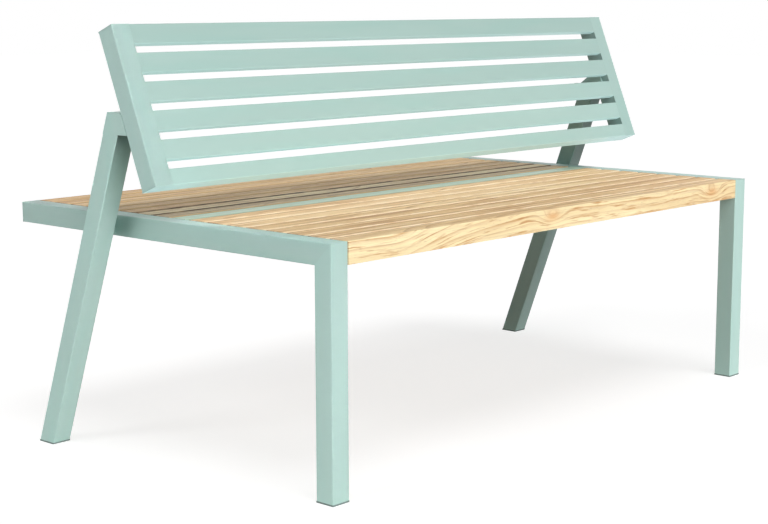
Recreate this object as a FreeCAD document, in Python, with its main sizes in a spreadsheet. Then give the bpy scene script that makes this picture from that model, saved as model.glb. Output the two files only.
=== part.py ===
import FreeCAD, Part
import os
import re
import Sketcher

# Convertible picnic table bench: a slatted deck on a square tube frame, and a backrest that
# swings over its two arms to become a table top above the crossbar of the deck.
# X runs along the bench, Y from the front to the rear, Z up from the ground. The origin lies on
# the ground under the middle of the deck.

doc = FreeCAD.newDocument("ConvertibleBench")
sizes = doc.addObject("Spreadsheet::Sheet", "Sizes")
layout = doc.addObject("Spreadsheet::Sheet", "Layout")

# Driving dimensions in millimetres, degrees and counts
SIZES = {
    # frame tubes
    "tube": 40,
    "tube_wall": 2.5,
    "tube_corner": 2,
    # deck
    "deck_length": 1330,
    "deck_top": 450,
    "slat_count": 8,
    "slat_width": 45,
    "slat_gap": 6.5,
    "slat_depth": 25,
    "slat_round": 2,
    "slat_end_gap": 1.5,
    "fascia_lip": 12,
    # what carries the slats
    "ledge_width": 25,
    "ledge_wall": 3,
    "bearer_width": 30,
    "bearer_wall": 2,
    # wood screws
    "screw_radius": 2.25,
    "screw_length": 20,
    "screw_head_radius": 4.5,
    "screw_head_height": 2.5,
    "screw_hole_gap": 0.3,
    "screw_end_inset": 13,
    # rear legs and the arms on top of them
    "leg_gap": 40,
    "leg_tilt": 20.35,
    "leg_setback": 678,
    "arm_top": 650,
    "block_front": 10,
    "block_length": 22,
    "block_skew": 40,
    "block_height": 30,
    # feet
    "foot_sole": 3,
    "foot_plug": 18,
    "foot_clearance": 0.2,
    # backrest
    "back_height": 302,
    "back_tilt": 21.74,
    "bar_count": 5,
    "bar_height": 38,
    "bar_slot": 16.4,
    "bar_depth": 15,
    "bar_wall": 1.5,
    "bottom_bar_depth": 40,
    "cap_wall": 2.5,
    # hinge
    "pivot_inset": 12,
    "arm_cover": 29.5,
    "pivot_up": 142,
    "stop_gap": 0.3,
    "side_gap": 0.3,
    "hinge_round": 14,
    "plate_wall": 6,
    "plate_relief": 1.1,
    "plate_root": 22,
    "plate_span": 60,
    "bolt_radius": 5,
    "bolt_play": 0.05,
    "bolt_head_radius": 8,
    "bolt_head_height": 5.4,
    "bolt_key": 5,
    "bolt_key_depth": 3,
    "thread_radius": 4,
    "thread_length": 20,
    "barrel_radius": 7.5,
    "bush_wall": 1.5,
    "flange_wall": 0.8,
    "flange_radius": 9,
    # lock
    "lock_reach": 22,
    "lock_round": 11,
    "lock_radius": 4,
    "lock_play": 0.05,
    "lock_hole_gap": 0.3,
    "lock_travel": 8,
    "lock_set_back": 0.2,
    "lock_body_radius": 8,
    "lock_body_length": 14,
    "lock_neck_radius": 6,
    "knob_radius": 11,
    "knob_length": 10,
    "knob_round": 2,
}

# Places and sizes that follow from the driving dimensions
LAYOUT = {
    "half_length": "deck_length / 2",
    "slat_pitch": "slat_width + slat_gap",
    "half_bar": "tube / 2",
    "half_deck": "half_bar + slat_count * slat_pitch",
    "slat_length": "deck_length - 2 * tube - 2 * slat_end_gap",
    "slat_under": "deck_top - slat_depth",
    "ledge_under": "deck_top - tube",
    "rail_centre": "deck_top - tube / 2",
    "rail_middle": "half_length - half_bar",
    "leg_middle": "half_length + leg_gap + half_bar",
    "leg_inside": "half_length + leg_gap",
    "bore_width": "tube - 2 * tube_wall",
    "screw_x": "half_length - tube - screw_end_inset",
    # the rear leg's front face leans forward as it rises
    "leg_slope": "tan(leg_tilt)",
    "leg_depth": "tube / cos(leg_tilt)",
    "leg_inner_wall": "tube_wall / cos(leg_tilt)",
    "foot_front": "leg_setback - half_deck",
    "arm_under": "arm_top - tube",
    "leg_top_front": "foot_front - arm_under * leg_slope",
    "arm_top_rear": "leg_top_front + leg_depth - tube * leg_slope",
    # hinge axis: level with the arm's top less the inset, one inset behind its front face
    "pivot_z": "arm_top - pivot_inset",
    "pivot_y": "arm_top_rear - arm_cover",
    "sin_back": "sin(back_tilt)",
    "cos_back": "cos(back_tilt)",
    "face_y": "pivot_y - pivot_inset * cos_back",
    "face_z": "pivot_z + pivot_inset * sin_back",
    "arm_front_top": "face_y + (arm_top - face_z) * sin_back / cos_back",
    "arm_front_under": "face_y + (arm_under - face_z) * sin_back / cos_back",
    # backrest, measured in its own frame: forward face at 0, bottom end at 0
    "pivot_back": "tube + stop_gap + pivot_inset",
    "back_y": "pivot_y - pivot_up * sin_back - pivot_back * cos_back",
    "back_z": "pivot_z - pivot_up * cos_back + pivot_back * sin_back",
    "bar_length": "deck_length + 2 * leg_gap",
    "bar_pitch": "bar_height + bar_slot",
    "bottom_bar_height": "back_height - bar_count * bar_pitch",
    # hinge parts along X, counted outward from the middle of the bench
    "plate_inside": "leg_inside - plate_wall",
    "plate_face": "leg_inside - plate_relief",
    "bolt_seat": "plate_inside - side_gap",
    "bush_radius": "bolt_radius + bolt_play + bush_wall",
    "lock_turn": "90 - back_tilt",
    "lock_bench_y": "pivot_y + lock_reach",
    "lock_table_y": "pivot_y + lock_reach * cos(lock_turn)",
    "lock_table_z": "pivot_z - lock_reach * sin(lock_turn)",
    "lock_tip": "plate_face - lock_set_back",
    "lock_body_end": "plate_inside - lock_body_length",
    "knob_face": "lock_body_end - lock_travel - side_gap",
}


def linked(text):
    """Writes each name of a size as a reference to its cell."""

    def cell(match):
        name = match.group()
        if name in SIZES:
            return f"Sizes.{name}"
        if name in LAYOUT:
            return f"Layout.{name}"
        return name

    return re.sub(r"[a-z_]+", cell, str(text))


def fill(sheet, rows, prefix):
    for row, (name, content) in enumerate(rows.items(), start=1):
        sheet.set(f"A{row}", name)
        sheet.set(f"B{row}", prefix + (linked(content) if prefix else str(content)))
        sheet.setAlias(f"B{row}", name)


fill(sizes, SIZES, "")
fill(layout, LAYOUT, "=")
doc.recompute()

SLAT_COUNT = int(sizes.get("slat_count"))
BAR_COUNT = int(sizes.get("bar_count"))
SIDES = {"left": -1, "right": 1}
parts = []


def value(text):
    return float(sizes.evalExpression(linked(text)))


def bind(feature, **sizes_of):
    for name, text in sizes_of.items():
        feature.setExpression(name, linked(text))


def place(feature, x="0", y="0", z="0"):
    for axis, text in zip("xyz", (x, y, z)):
        feature.setExpression(f"Placement.Base.{axis}", linked(text))


def new_body(label):
    body = doc.addObject("PartDesign::Body", label)
    body.Label = label
    parts.append(body)
    return body


def sketch_on(body, name, role):
    """A sketch on one of the body's own origin planes."""
    sketch = body.newObject("Sketcher::SketchObject", f"{body.Name}_{name}")
    plane = [part for part in body.Origin.OriginFeatures if part.Role == role]
    sketch.AttachmentSupport = [(plane[0], "")]
    sketch.MapMode = "FlatFace"
    return sketch


def pin_point(sketch, index, end, x, y):
    """Holds one end of a curve at a place given by two expressions."""
    for kind, text in (("DistanceX", x), ("DistanceY", y)):
        rule = Sketcher.Constraint(kind, -1, 1, index, end, value(text))
        number = sketch.addConstraint(rule)
        sketch.setExpression(f"Constraints[{number}]", linked(text))


def polygon(sketch, corners):
    """A closed outline whose corners are pairs of expressions."""
    spots = [FreeCAD.Vector(value(x), value(y), 0) for x, y in corners]
    first = sketch.GeometryCount
    count = len(corners)
    for i in range(count):
        sketch.addGeometry(Part.LineSegment(spots[i], spots[(i + 1) % count]), False)
    for i in range(count):
        joint = Sketcher.Constraint("Coincident", first + i, 2, first + (i + 1) % count, 1)
        sketch.addConstraint(joint)
    for i, (x, y) in enumerate(corners):
        pin_point(sketch, first + i, 1, x, y)


def circle(sketch, x, y, radius):
    spot = FreeCAD.Vector(value(x), value(y), 0)
    index = sketch.addGeometry(Part.Circle(spot, FreeCAD.Vector(0, 0, 1), value(radius)), False)
    pin_point(sketch, index, 3, x, y)
    rule = sketch.addConstraint(Sketcher.Constraint("Radius", index, value(radius)))
    sketch.setExpression(f"Constraints[{rule}]", linked(radius))


def pad(body, name, sketch, length, symmetric=True, reverse=False):
    feature = body.newObject("PartDesign::Pad", f"{body.Name}_{name}")
    feature.Profile = sketch
    feature.SideType = "Symmetric" if symmetric else "One side"
    feature.Reversed = reverse
    bind(feature, Length=length)
    sketch.Visibility = False
    return feature


def pocket(body, name, sketch, length, symmetric=True, reverse=False):
    doc.recompute()
    before = body.Shape.Volume
    feature = body.newObject("PartDesign::Pocket", f"{body.Name}_{name}")
    feature.Profile = sketch
    feature.SideType = "Symmetric" if symmetric else "One side"
    feature.Reversed = reverse
    bind(feature, Length=length)
    doc.recompute()
    if not feature.Shape.Volume < before - 1:
        raise ValueError(f"{feature.Name} cuts nothing")
    return feature


def long_edges(shape, direction, shortest=30):
    """Names of the straight edges along a direction, tiny ones left out."""
    names = []
    for number, edge in enumerate(shape.Edges, start=1):
        if not isinstance(edge.Curve, Part.Line) or edge.Length < shortest:
            continue
        if abs(abs(edge.Curve.Direction.dot(direction)) - 1) < 1e-6:
            names.append((f"Edge{number}", edge))
    return names


def round_edges(body, name, base, edges, radius):
    feature = body.newObject("PartDesign::Fillet", f"{body.Name}_{name}")
    feature.Base = (base, edges)
    bind(feature, Radius=radius)
    return feature


def side_edges(base, corners, first, width, flank):
    """The edges that one straight side of a pad's outline leaves on the tube's flanks: on the
    flank at -1 or 1, or with 0 on both."""
    (y_a, z_a), (y_b, z_b) = (
        (value(y), value(z)) for y, z in (corners[first], corners[(first + 1) % len(corners)])
    )
    middle = FreeCAD.Vector(0, (y_a + y_b) / 2, (z_a + z_b) / 2)
    half = value(width) / 2
    names = []
    for number, edge in enumerate(base.Shape.Edges, start=1):
        spot = edge.CenterOfMass
        if flank * spot.x < 0:
            continue
        if abs(abs(spot.x) - half) < 1e-6 and (spot - middle).Length < half + 1e-3:
            names.append(f"Edge{number}")
    return names


def tube(label, outer, inner, front_flank=0):
    """A tube seen from its side: an outline as thick as the tube, with a narrower bore. Its
    corners are rounded along the second and the fourth side of the outline, and along the
    fourth only on the flank that is given."""
    body = new_body(label)
    solid = sketch_on(body, "outline", "YZ_Plane")
    polygon(solid, outer)
    base = pad(body, "tube", solid, "tube")
    doc.recompute()
    names = side_edges(base, outer, 1, "tube", 0)
    names += side_edges(base, outer, 3, "tube", front_flank)
    round_edges(body, "corners", base, names, "tube_corner")
    hollow = sketch_on(body, "bore_outline", "YZ_Plane")
    polygon(hollow, inner)
    pocket(body, "bore", hollow, "bore_width")
    return body


def front_leg(name, side):
    """Upright, cut at 45 degrees where the side rail meets it."""
    outer = [
        ("0", "foot_sole"),
        ("tube", "foot_sole"),
        ("tube", "deck_top - tube"),
        ("0", "deck_top"),
    ]
    inner = [
        ("tube_wall", "foot_sole"),
        ("tube - tube_wall", "foot_sole"),
        ("tube - tube_wall", "deck_top - tube + tube_wall"),
        ("tube_wall", "deck_top - tube_wall"),
    ]
    body = tube(f"front_leg_{name}", outer, inner)
    place(body, f"{side} * rail_middle", "-half_deck")


def side_rail(name, side):
    """Runs from the mitre over the front leg to the rear edge of the deck."""
    outer = [
        ("-half_deck", "deck_top"),
        ("tube - half_deck", "deck_top - tube"),
        ("half_deck - cap_wall", "deck_top - tube"),
        ("half_deck - cap_wall", "deck_top"),
    ]
    inner = [
        ("tube_wall - half_deck", "deck_top - tube_wall"),
        ("tube - tube_wall - half_deck", "deck_top - tube + tube_wall"),
        ("half_deck - cap_wall", "deck_top - tube + tube_wall"),
        ("half_deck - cap_wall", "deck_top - tube_wall"),
    ]
    body = tube(f"side_rail_{name}", outer, inner)
    place(body, f"{side} * rail_middle")


def group(label, pieces):
    """Separate solids of one kind under one name."""
    feature = doc.addObject("Part::Compound", label)
    feature.Label = label
    feature.Links = pieces
    parts.append(feature)
    return feature


def box(label, x, y, z, length, width, height):
    feature = doc.addObject("Part::Box", label)
    bind(feature, Length=length, Width=width, Height=height)
    place(feature, x, y, z)
    return feature


def cylinder(label, x, y, z, radius, length, side):
    """A cylinder along X that grows outward from the middle of the bench."""
    feature = doc.addObject("Part::Cylinder", label)
    turn = FreeCAD.Rotation(FreeCAD.Vector(0, 1, 0), 90 * side)
    feature.Placement = FreeCAD.Placement(FreeCAD.Vector(), turn)
    bind(feature, Radius=radius, Height=length)
    place(feature, x, y, z)
    return feature


def cut(label, base, tool):
    feature = doc.addObject("Part::Cut", label)
    feature.Base = base
    feature.Tool = tool
    return feature


def fuse(label, pieces):
    feature = doc.addObject("Part::MultiFuse", label)
    feature.Shapes = pieces
    return feature


def as_part(feature, label):
    feature.Label = label
    parts.append(feature)
    return feature


def rail_caps():
    """Welded plates that close the rear ends of the side rails."""
    plates = []
    for name, side in SIDES.items():
        x = f"{side} * rail_middle - half_bar"
        y = "half_deck - cap_wall"
        plate = box(f"rail_cap_{name}", x, y, "deck_top - tube", "tube", "cap_wall", "tube")
        plates.append(plate)
    group("side_rail_caps", plates)


def crossbar():
    """Flush in the deck between the two seats, welded between the side rails."""
    body = new_body("seat_crossbar")
    section = sketch_on(body, "section", "YZ_Plane")
    polygon(section, square("half_bar", "deck_top - tube", "deck_top"))
    base = pad(body, "tube", section, "deck_length - 2 * tube")
    doc.recompute()
    names = [name for name, edge in long_edges(base.Shape, FreeCAD.Vector(1, 0, 0))]
    round_edges(body, "corners", base, names, "tube_corner")
    bore = sketch_on(body, "bore_section", "YZ_Plane")
    inside = square("half_bar - tube_wall", "deck_top - tube + tube_wall", "deck_top - tube_wall")
    polygon(bore, inside)
    pocket(body, "bore", bore, "deck_length")


def square(half, low, high):
    return [(f"-({half})", low), (half, low), (half, high), (f"-({half})", high)]


def leg_face(height, inset="0"):
    """Y of the rear leg's front face at a height."""
    return f"foot_front - ({height}) * leg_slope + {inset}"


def rear_leg(name, side):
    """Leans forward from the ground to the arm; its faces are cut level at both ends."""
    outer = [
        (leg_face("foot_sole"), "foot_sole"),
        (leg_face("foot_sole", "leg_depth"), "foot_sole"),
        (leg_face("arm_under", "leg_depth"), "arm_under"),
        (leg_face("arm_under"), "arm_under"),
    ]
    inner = [
        (leg_face("foot_sole", "leg_inner_wall"), "foot_sole"),
        (leg_face("foot_sole", "leg_depth - leg_inner_wall"), "foot_sole"),
        (leg_face("arm_under", "leg_depth - leg_inner_wall"), "arm_under"),
        (leg_face("arm_under", "leg_inner_wall"), "arm_under"),
    ]
    body = tube(f"rear_leg_{name}", outer, inner)
    place(body, f"{side} * leg_middle")


def backrest_arm(name, side):
    """Closed box on top of the rear leg. Its front face and top are the two stops of the
    backrest, and the corner between them is rounded about the hinge axis."""
    outer = [
        ("arm_front_under", "arm_under"),
        ("leg_top_front + leg_depth", "arm_under"),
        ("arm_top_rear", "arm_top"),
        ("arm_front_top", "arm_top"),
    ]
    low = "arm_under + tube_wall"
    high = "arm_top - tube_wall"
    rear_wall = "leg_inner_wall - tube_wall * leg_slope"
    nose_radius = "(pivot_inset - tube_wall)"
    inner = [
        ("arm_front_under + tube_wall * (1 + sin_back) / cos_back", low),
        ("leg_top_front + leg_depth - leg_inner_wall - tube_wall * leg_slope", low),
        (f"arm_top_rear - ({rear_wall})", high),
        ("pivot_y", high),
        (f"pivot_y - {nose_radius} * cos_back", f"pivot_z + {nose_radius} * sin_back"),
    ]
    body = new_body(f"backrest_arm_{name}")
    solid = sketch_on(body, "outline", "YZ_Plane")
    polygon(solid, outer)
    base = pad(body, "block", solid, "tube")
    doc.recompute()
    nose = []
    for number, edge in enumerate(base.Shape.Edges, start=1):
        spot = edge.CenterOfMass
        at_front = abs(spot.y - value("arm_front_top")) < 1e-3
        if at_front and abs(spot.z - value("arm_top")) < 1e-3:
            nose.append(f"Edge{number}")
    round_edges(body, "nose", base, nose, "pivot_inset")
    hollow = sketch_on(body, "hollow_outline", "YZ_Plane")
    polygon(hollow, inner)
    pocket(body, "hollow", hollow, "bore_width")
    seat = sketch_on(body, "barrel_seat", "YZ_Plane")
    circle(seat, "pivot_y", "pivot_z", "barrel_radius")
    inward = side < 0
    pocket(body, "barrel_hole", seat, "half_bar", symmetric=False, reverse=inward)
    holes = sketch_on(body, "lock_holes", "YZ_Plane")
    circle(holes, "lock_bench_y", "pivot_z", "lock_radius + lock_hole_gap")
    circle(holes, "lock_table_y", "lock_table_z", "lock_radius + lock_hole_gap")
    pocket(body, "lock_bore", holes, "half_bar", symmetric=False, reverse=inward)
    place(body, f"{side} * leg_middle")


def leg_block(name, side):
    """Welded between the side rail and the rear leg. It slants rearward from the leg to the
    rail, so that the leg hides it from the front."""
    body = new_body(f"leg_block_{name}")
    at_leg = f"{leg_face('rail_centre')} + block_front"
    at_rail = f"{at_leg} + block_skew"
    plan = sketch_on(body, "plan", "XY_Plane")
    outline = [
        (f"{side} * leg_inside", at_leg),
        (f"{side} * leg_inside", f"{at_leg} + block_length"),
        (f"{side} * half_length", f"{at_rail} + block_length"),
        (f"{side} * half_length", at_rail),
    ]
    polygon(plan, outline)
    pad(body, "block", plan, "block_height")
    place(body, z="rail_centre")


def foot(label, x, front, slope, depth, wall):
    """A sole under the leg's end and a plug inside it."""
    body = new_body(label)
    top = "foot_sole + foot_plug"
    sole = sketch_on(body, "sole_outline", "YZ_Plane")
    outline = [
        (front, "0"),
        (f"{front} + {depth}", "0"),
        (f"{front} + {depth} - foot_sole * {slope}", "foot_sole"),
        (f"{front} - foot_sole * {slope}", "foot_sole"),
    ]
    polygon(sole, outline)
    pad(body, "sole", sole, "tube")
    plug = sketch_on(body, "plug_outline", "YZ_Plane")
    near = f"{front} + {wall} + foot_clearance"
    far = f"{front} + {depth} - {wall} - foot_clearance"
    outline = [
        (f"{near} - foot_sole * {slope}", "foot_sole"),
        (f"{far} - foot_sole * {slope}", "foot_sole"),
        (f"{far} - ({top}) * {slope}", top),
        (f"{near} - ({top}) * {slope}", top),
    ]
    polygon(plug, outline)
    pad(body, "plug", plug, "bore_width - 2 * foot_clearance")
    place(body, x)


def screw_holes(body, y):
    """Pilot holes for three wood screws from below."""
    holes = sketch_on(body, "screw_places", "XY_Plane")
    for x in ("-screw_x", "0", "screw_x"):
        circle(holes, x, y, "screw_radius")
    depth = "slat_under + screw_length - ledge_wall"
    pocket(body, "screw_holes", holes, depth, symmetric=False, reverse=True)


def slat(label, number, side):
    """One wood slat. The outermost has a lip that covers the ends of the ledges."""
    near = f"half_bar + slat_gap + {SLAT_COUNT - number} * slat_pitch"
    far = f"{near} + slat_width"
    if number == 1:
        lip = f"{far} - fascia_lip"
        outline = [
            (near, "slat_under"),
            (lip, "slat_under"),
            (lip, "deck_top - tube"),
            (far, "deck_top - tube"),
            (far, "deck_top"),
            (near, "deck_top"),
        ]
    else:
        outline = [
            (near, "slat_under"),
            (far, "slat_under"),
            (far, "deck_top"),
            (near, "deck_top"),
        ]
    outline = [(f"{side} * ({y})", z) for y, z in outline]
    body = new_body(label)
    section = sketch_on(body, "section", "YZ_Plane")
    polygon(section, outline)
    base = pad(body, "slat", section, "slat_length")
    doc.recompute()
    top = value("deck_top")
    arrises = long_edges(base.Shape, FreeCAD.Vector(1, 0, 0))
    names = [name for name, edge in arrises if abs(edge.CenterOfMass.z - top) < 1e-6]
    round_edges(body, "arrises", base, names, "slat_round")
    screw_holes(body, f"{side} * ({near} + slat_width / 2)")


def hole_row(body, x, y, pitch):
    """Clearance holes for the wood screws, one under each slat."""
    spot = sketch_on(body, "hole_place", "XY_Plane")
    circle(spot, x, y, "screw_radius + screw_hole_gap")
    first = pocket(body, "hole", spot, "deck_top", symmetric=False, reverse=True)
    row = body.newObject("PartDesign::LinearPattern", f"{body.Name}_holes")
    row.Originals = [first]
    row.Direction = (spot, ["V_Axis"])
    row.Reversed = pitch < 0
    bind(row, Length=f"{SLAT_COUNT - 1} * slat_pitch", Occurrences="slat_count")
    body.Tip = row


def ledge(depth_name, y_side, name, side):
    """Angle along the side rail that carries the ends of the slats."""
    body = new_body(f"slat_ledge_{depth_name}_{name}")
    wall = f"{side} * (half_length - tube)"
    edge = f"{side} * (half_length - tube - ledge_width)"
    web = f"{side} * (half_length - tube - ledge_wall)"
    section = sketch_on(body, "section", "XZ_Plane")
    outline = [
        (wall, "slat_under"),
        (edge, "slat_under"),
        (edge, "slat_under - ledge_wall"),
        (web, "slat_under - ledge_wall"),
        (web, "ledge_under"),
        (wall, "ledge_under"),
    ]
    polygon(section, outline)
    length = "half_deck - fascia_lip - half_bar"
    pad(body, "angle", section, length, symmetric=False, reverse=y_side > 0)
    doc.recompute()
    middle = f"{y_side} * (slat_gap + slat_width / 2)"
    hole_row(body, f"{side} * screw_x", middle, y_side)
    place(body, y=f"{y_side} * half_bar")


def bearer(depth_name, y_side):
    """Flat tube under the middle of the slats."""
    body = new_body(f"centre_bearer_{depth_name}")
    section = sketch_on(body, "section", "XZ_Plane")
    polygon(section, square("bearer_width / 2", "ledge_under", "slat_under"))
    length = "half_deck - fascia_lip - half_bar"
    pad(body, "tube", section, length, symmetric=False, reverse=y_side > 0)
    doc.recompute()
    bore = sketch_on(body, "bore_section", "XZ_Plane")
    inside = square(
        "bearer_width / 2 - bearer_wall", "ledge_under + bearer_wall", "slat_under - bearer_wall"
    )
    polygon(bore, inside)
    pocket(body, "bore", bore, length, symmetric=False, reverse=y_side < 0)
    middle = f"{y_side} * (slat_gap + slat_width / 2)"
    hole_row(body, "0", middle, y_side)
    place(body, y=f"{y_side} * half_bar")


def wood_screws():
    """Screws through the ledges, and through both walls of the bearers, into the slats."""
    pieces = []
    for y_side in (-1, 1):
        for number in range(SLAT_COUNT):
            y = f"{y_side} * (half_bar + slat_gap + slat_width / 2 + {number} * slat_pitch)"
            for x in ("-screw_x", "0", "screw_x"):
                seat = "slat_under - ledge_wall" if x != "0" else "ledge_under"
                mark = len(pieces) + 1
                head = doc.addObject("Part::Cylinder", f"screw_head_{mark}")
                bind(head, Radius="screw_head_radius", Height="screw_head_height")
                place(head, x, y, f"{seat} - screw_head_height")
                shank = doc.addObject("Part::Cylinder", f"screw_shank_{mark}")
                end = "slat_under + screw_length - ledge_wall"
                bind(shank, Radius="screw_radius", Height=f"{end} - ({seat})")
                place(shank, x, y, seat)
                pieces.append(fuse(f"wood_screw_{mark}", [head, shank]))
    group("wood_screws", pieces)


def place_on_back(feature, x="0"):
    """Seats a feature on the backrest's own frame: Y from its forward face, Z up its slope."""
    turn = FreeCAD.Rotation(FreeCAD.Vector(-1, 0, 0), value("back_tilt"))
    feature.Placement = FreeCAD.Placement(FreeCAD.Vector(), turn)
    feature.setExpression("Placement.Rotation.Angle", linked("back_tilt"))
    place(feature, x, "back_y", "back_z")


def backrest_side(name, side):
    """Square tube at each end of the backrest, closed by a cap at both ends. Its forward inner
    edge stays sharp, where the bars meet it flush."""
    low = "cap_wall"
    high = "back_height - cap_wall"
    outer = [("0", low), ("tube", low), ("tube", high), ("0", high)]
    near = "tube_wall"
    far = "tube - tube_wall"
    inner = [(near, low), (far, low), (far, high), (near, high)]
    body = tube(f"backrest_side_{name}", outer, inner, side)
    place_on_back(body, f"{side} * leg_middle")


def backrest_caps():
    """Welded plates that close the ends of the side members."""
    pieces = []
    for name, side in SIDES.items():
        for end, z in (("lower", "0"), ("upper", "back_height - cap_wall")):
            label = f"backrest_cap_{end}_{name}"
            plate = doc.addObject("Part::Box", label)
            bind(plate, Length="tube", Width="tube", Height="cap_wall")
            flat = doc.addObject("Part::Compound", f"{label}_seated")
            x = f"{side} * leg_middle - half_bar"
            place(plate, x, "0", z)
            flat.Links = [plate]
            place_on_back(flat)
            pieces.append(flat)
    group("backrest_side_caps", pieces)


def backrest_bar(number):
    """Rectangular tube between the side members, flush with their forward faces."""
    if number > BAR_COUNT:
        low, high, depth = "0", "bottom_bar_height", "bottom_bar_depth"
    else:
        low = f"bottom_bar_height + bar_slot + {BAR_COUNT - number} * bar_pitch"
        high = f"{low} + bar_height"
        depth = "bar_depth"
    body = new_body(f"backrest_bar_{number}")
    section = sketch_on(body, "section", "YZ_Plane")
    polygon(section, [("0", low), (depth, low), (depth, high), ("0", high)])
    base = pad(body, "tube", section, "bar_length")
    doc.recompute()
    names = [name for name, edge in long_edges(base.Shape, FreeCAD.Vector(1, 0, 0))]
    round_edges(body, "corners", base, names, "bar_wall")
    bore = sketch_on(body, "bore_section", "YZ_Plane")
    near, far = "bar_wall", f"{depth} - bar_wall"
    under, over = f"{low} + bar_wall", f"{high} - bar_wall"
    polygon(bore, [(near, under), (far, under), (far, over), (near, over)])
    pocket(body, "bore", bore, "bar_length")
    place_on_back(body)


def hinge_plate(name, side):
    """Welded to the inner face of the side member. It reaches back past the arm, where it is
    relieved, and holds the bush and the lock."""
    body = new_body(f"hinge_plate_{name}")
    web = sketch_on(body, "outline", "YZ_Plane")
    # the bolt and the lock in the backrest's own frame
    bolt = ("pivot_back", "pivot_up")
    lock = ("pivot_back + lock_reach * cos_back", "pivot_up + lock_reach * sin_back")
    root = "tube - plate_root"
    top = "pivot_up + plate_span / 2"
    bottom = "pivot_up - plate_span / 2"
    outline = [
        (root, bottom),
        ("tube - tube_corner", bottom),
        ("pivot_back", "pivot_up - hinge_round"),
        (f"{lock[0]} + lock_round * sin_back", f"{lock[1]} - lock_round * cos_back"),
        (f"{lock[0]} + lock_round", f"{lock[1]} - lock_round / 2"),
        (f"{lock[0]} + lock_round", f"{lock[1]} + lock_round / 2"),
        (f"{lock[0]} + lock_round / 2", f"{lock[1]} + lock_round"),
        ("tube - tube_corner", top),
        (root, top),
    ]
    polygon(web, outline)
    pad(body, "plate", web, "plate_wall", symmetric=False, reverse=side > 0)
    doc.recompute()
    relief = sketch_on(body, "relief_outline", "YZ_Plane")
    far = f"{lock[0]} + 2 * lock_round"
    polygon(relief, [("tube", bottom), (far, bottom), (far, top), ("tube", top)])
    pocket(body, "relief", relief, "plate_relief", symmetric=False, reverse=side < 0)
    holes = sketch_on(body, "holes", "YZ_Plane")
    circle(holes, *bolt, "bush_radius")
    circle(holes, *lock, "lock_neck_radius")
    pocket(body, "bores", holes, "plate_wall", symmetric=False, reverse=side < 0)
    place_on_back(body, f"{side} * leg_inside")


def along(label, side, start, radius, length, y="pivot_y"):
    """A cylinder level with the hinge, from a distance outward of the bench's middle."""
    return cylinder(label, f"{side} * ({start})", y, "pivot_z", radius, length, side)


def pivot_bolt(name, side):
    """Shoulder bolt: its head bears on the plate, its shoulder on the barrel in the arm."""
    label = f"pivot_bolt_{name}"
    head_start = "bolt_seat - bolt_head_height"
    head = along(f"{label}_head", side, head_start, "bolt_head_radius", "bolt_head_height")
    shoulder = along(f"{label}_shoulder", side, "bolt_seat", "bolt_radius", "leg_inside - (bolt_seat)")
    thread = along(f"{label}_thread", side, "leg_inside", "thread_radius", "thread_length")
    key = doc.addObject("Part::Prism", f"{label}_key")
    key.Polygon = 6
    turn = FreeCAD.Rotation(FreeCAD.Vector(0, 1, 0), 90 * side)
    key.Placement = FreeCAD.Placement(FreeCAD.Vector(), turn)
    bind(key, Circumradius="bolt_key", Height="bolt_key_depth")
    place(key, f"{side} * ({head_start})", "pivot_y", "pivot_z")
    whole = fuse(f"{label}_body", [head, shoulder, thread])
    as_part(cut(label, whole, key), label)


def pivot_barrels():
    """Threaded barrels, welded in the inner wall of each arm and against its outer wall."""
    pieces = []
    for name, side in SIDES.items():
        label = f"pivot_barrel_{name}"
        length = "tube - tube_wall"
        outside = along(f"{label}_round", side, "leg_inside", "barrel_radius", length)
        bore = along(f"{label}_bore", side, "leg_inside", "thread_radius", "thread_length + tube_wall")
        pieces.append(cut(label, outside, bore))
    group("pivot_barrels", pieces)


def hinge_bushes():
    """Flanged bushes pressed into the plates; the flange runs against the arm."""
    pieces = []
    for name, side in SIDES.items():
        label = f"hinge_bush_{name}"
        sleeve_length = "plate_wall - plate_relief"
        sleeve = along(f"{label}_sleeve", side, "plate_inside", "bush_radius", sleeve_length)
        flange = along(f"{label}_flange", side, "plate_face", "flange_radius", "flange_wall")
        reach = "plate_wall"
        bore = along(f"{label}_bore", side, "plate_inside", "bolt_radius + bolt_play", reach)
        whole = fuse(f"{label}_body", [sleeve, flange])
        pieces.append(cut(label, whole, bore))
    group("hinge_bushes", pieces)


def lock_body(name, side):
    """Sleeve of the index plunger, screwed into the hinge plate."""
    label = f"lock_body_{name}"
    start = "lock_body_end"
    length = "lock_body_length"
    y = "lock_bench_y"
    shell = along(f"{label}_shell", side, start, "lock_body_radius", length, y)
    neck_length = "plate_wall - plate_relief"
    neck = along(f"{label}_neck", side, "plate_inside", "lock_neck_radius", neck_length, y)
    bore = along(f"{label}_bore", side, start, "lock_radius + lock_play", f"{length} + plate_wall", y)
    whole = fuse(f"{label}_whole", [shell, neck])
    as_part(cut(label, whole, bore), label)


def lock_pin(name, side):
    """Pin of the plunger with its knob, drawn back as it is while the backrest swings."""
    label = f"lock_pin_{name}"
    y = "lock_bench_y"
    pin = along(f"{label}_pin", side, "knob_face", "lock_radius", "lock_tip - (knob_face)", y)
    knob = along(f"{label}_knob", side, "knob_face - knob_length", "knob_radius", "knob_length", y)
    doc.recompute()
    rims = [number for number, edge in enumerate(knob.Shape.Edges, start=1) if edge.Closed]
    soft = doc.addObject("Part::Fillet", f"{label}_rims")
    soft.Base = knob
    radius = value("knob_round")
    soft.Edges = [(number, radius, radius) for number in rims]
    as_part(fuse(label, [pin, soft]), label)


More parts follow.
